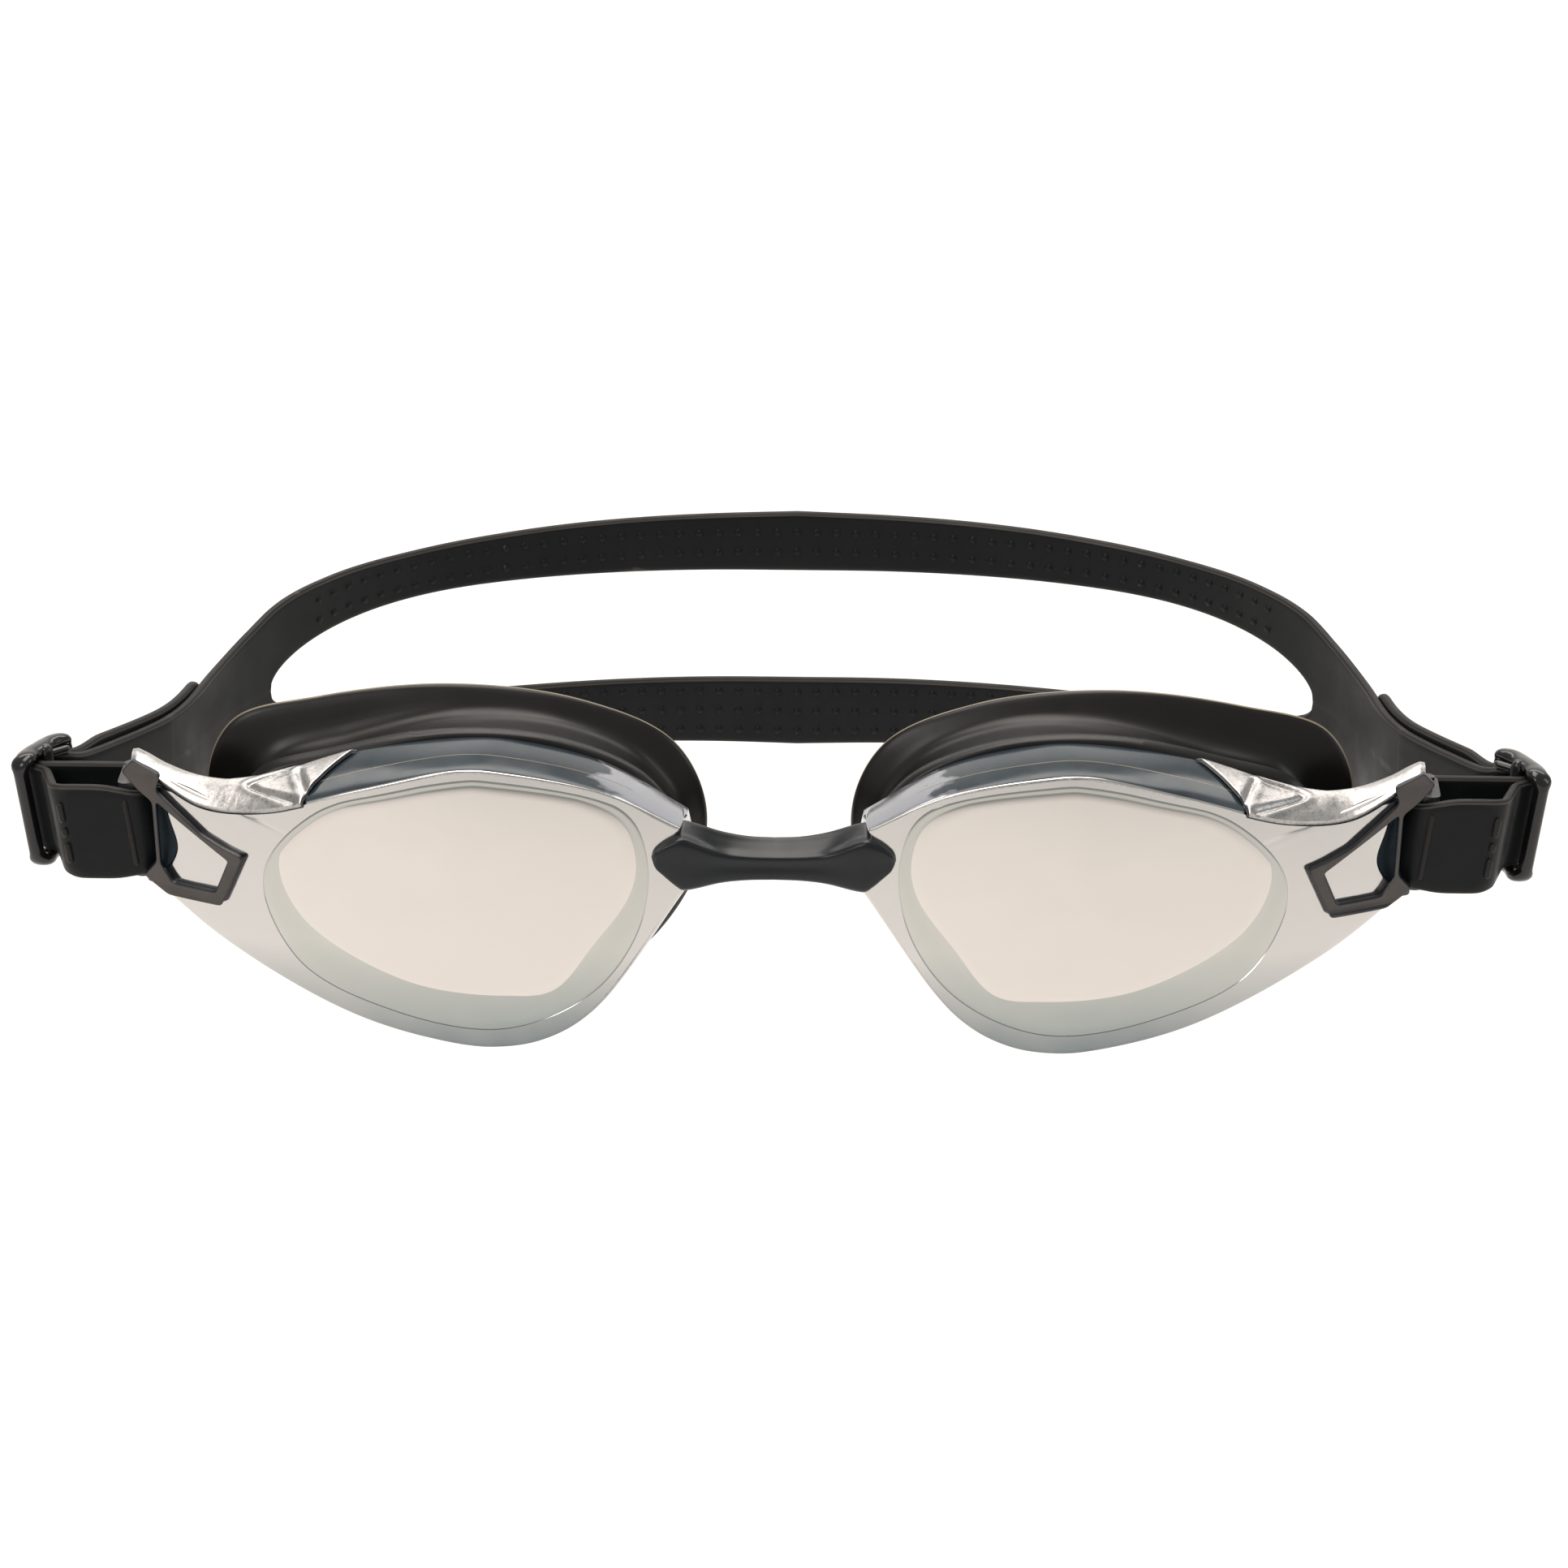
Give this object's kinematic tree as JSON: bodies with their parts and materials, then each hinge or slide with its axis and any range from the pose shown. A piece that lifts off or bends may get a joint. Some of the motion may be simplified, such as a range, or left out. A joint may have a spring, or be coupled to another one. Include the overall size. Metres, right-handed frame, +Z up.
{
  "type": "swim goggles",
  "caption": "Swim goggles with mirrored wraparound lenses, silicone gaskets, a nose bridge, temple clips, slide buckles and a split silicone head strap.",
  "frame": {"origin": "middle of the plane in which the two gaskets seal against the face", "axes": "+X to the viewer's right when looking at the front, +Y from the front towards the back of the head, +Z up"},
  "size_m": [0.1886, 0.0982, 0.0413],
  "materials": {
    "lens": "silver mirror coating on polycarbonate",
    "gasket": "soft black silicone",
    "frame_plastic": "black moulded plastic",
    "clip_plastic": "matte charcoal moulded plastic",
    "bridge_plastic": "satin black moulded plastic",
    "buckle_plastic": "gloss black moulded plastic",
    "strap": "satin black silicone with raised dots inside"
  },
  "bodies": {
    "front": {"left_lens": "lens", "left_gasket": "gasket", "left_gasket_frame": "frame_plastic", "left_temple_clip": "clip_plastic", "left_strap_post": "frame_plastic", "left_strap_end": "strap", "right_lens": "lens", "right_gasket": "gasket", "right_gasket_frame": "frame_plastic", "right_temple_clip": "clip_plastic", "right_strap_post": "frame_plastic", "right_strap_end": "strap", "nose_bridge": "bridge_plastic"},
    "strap": {"head_strap": "strap"},
    "left_slider": {"left_buckle_bar": "buckle_plastic"},
    "left_buckle": {"left_buckle_frame": "buckle_plastic"},
    "right_slider": {"right_buckle_bar": "buckle_plastic"},
    "right_buckle": {"right_buckle_frame": "buckle_plastic"}
  },
  "joints": [
    {"name": "strap_lift", "type": "hinge", "parent": "front", "child": "strap", "pos_m": [0, 0.0195, 0.006], "axis": [1, 0, 0], "range_deg": [-25, 25], "stiffness_Nm_per_rad": 0.15},
    {"name": "left_buckle_slide", "type": "slide", "parent": "front", "child": "left_slider", "axis": [1, 0, 0], "range_m": [0, 0.005], "deforming": ["left_strap_end"]},
    {"name": "left_buckle_tilt", "type": "hinge", "parent": "left_slider", "child": "left_buckle", "pos_m": [-0.089, 0.0019, 0.006], "axis": [-0.1513, 0, 0.9885], "range_deg": [-1, 18], "stiffness_Nm_per_rad": 0.004},
    {"name": "right_buckle_slide", "type": "slide", "parent": "front", "child": "right_slider", "axis": [-1, 0, 0], "range_m": [0, 0.005], "deforming": ["right_strap_end"]},
    {"name": "right_buckle_tilt", "type": "hinge", "parent": "right_slider", "child": "right_buckle", "pos_m": [0.089, 0.0019, 0.006], "axis": [0.1513, 0, 0.9885], "range_deg": [-18, 1], "stiffness_Nm_per_rad": 0.004}
  ]
}
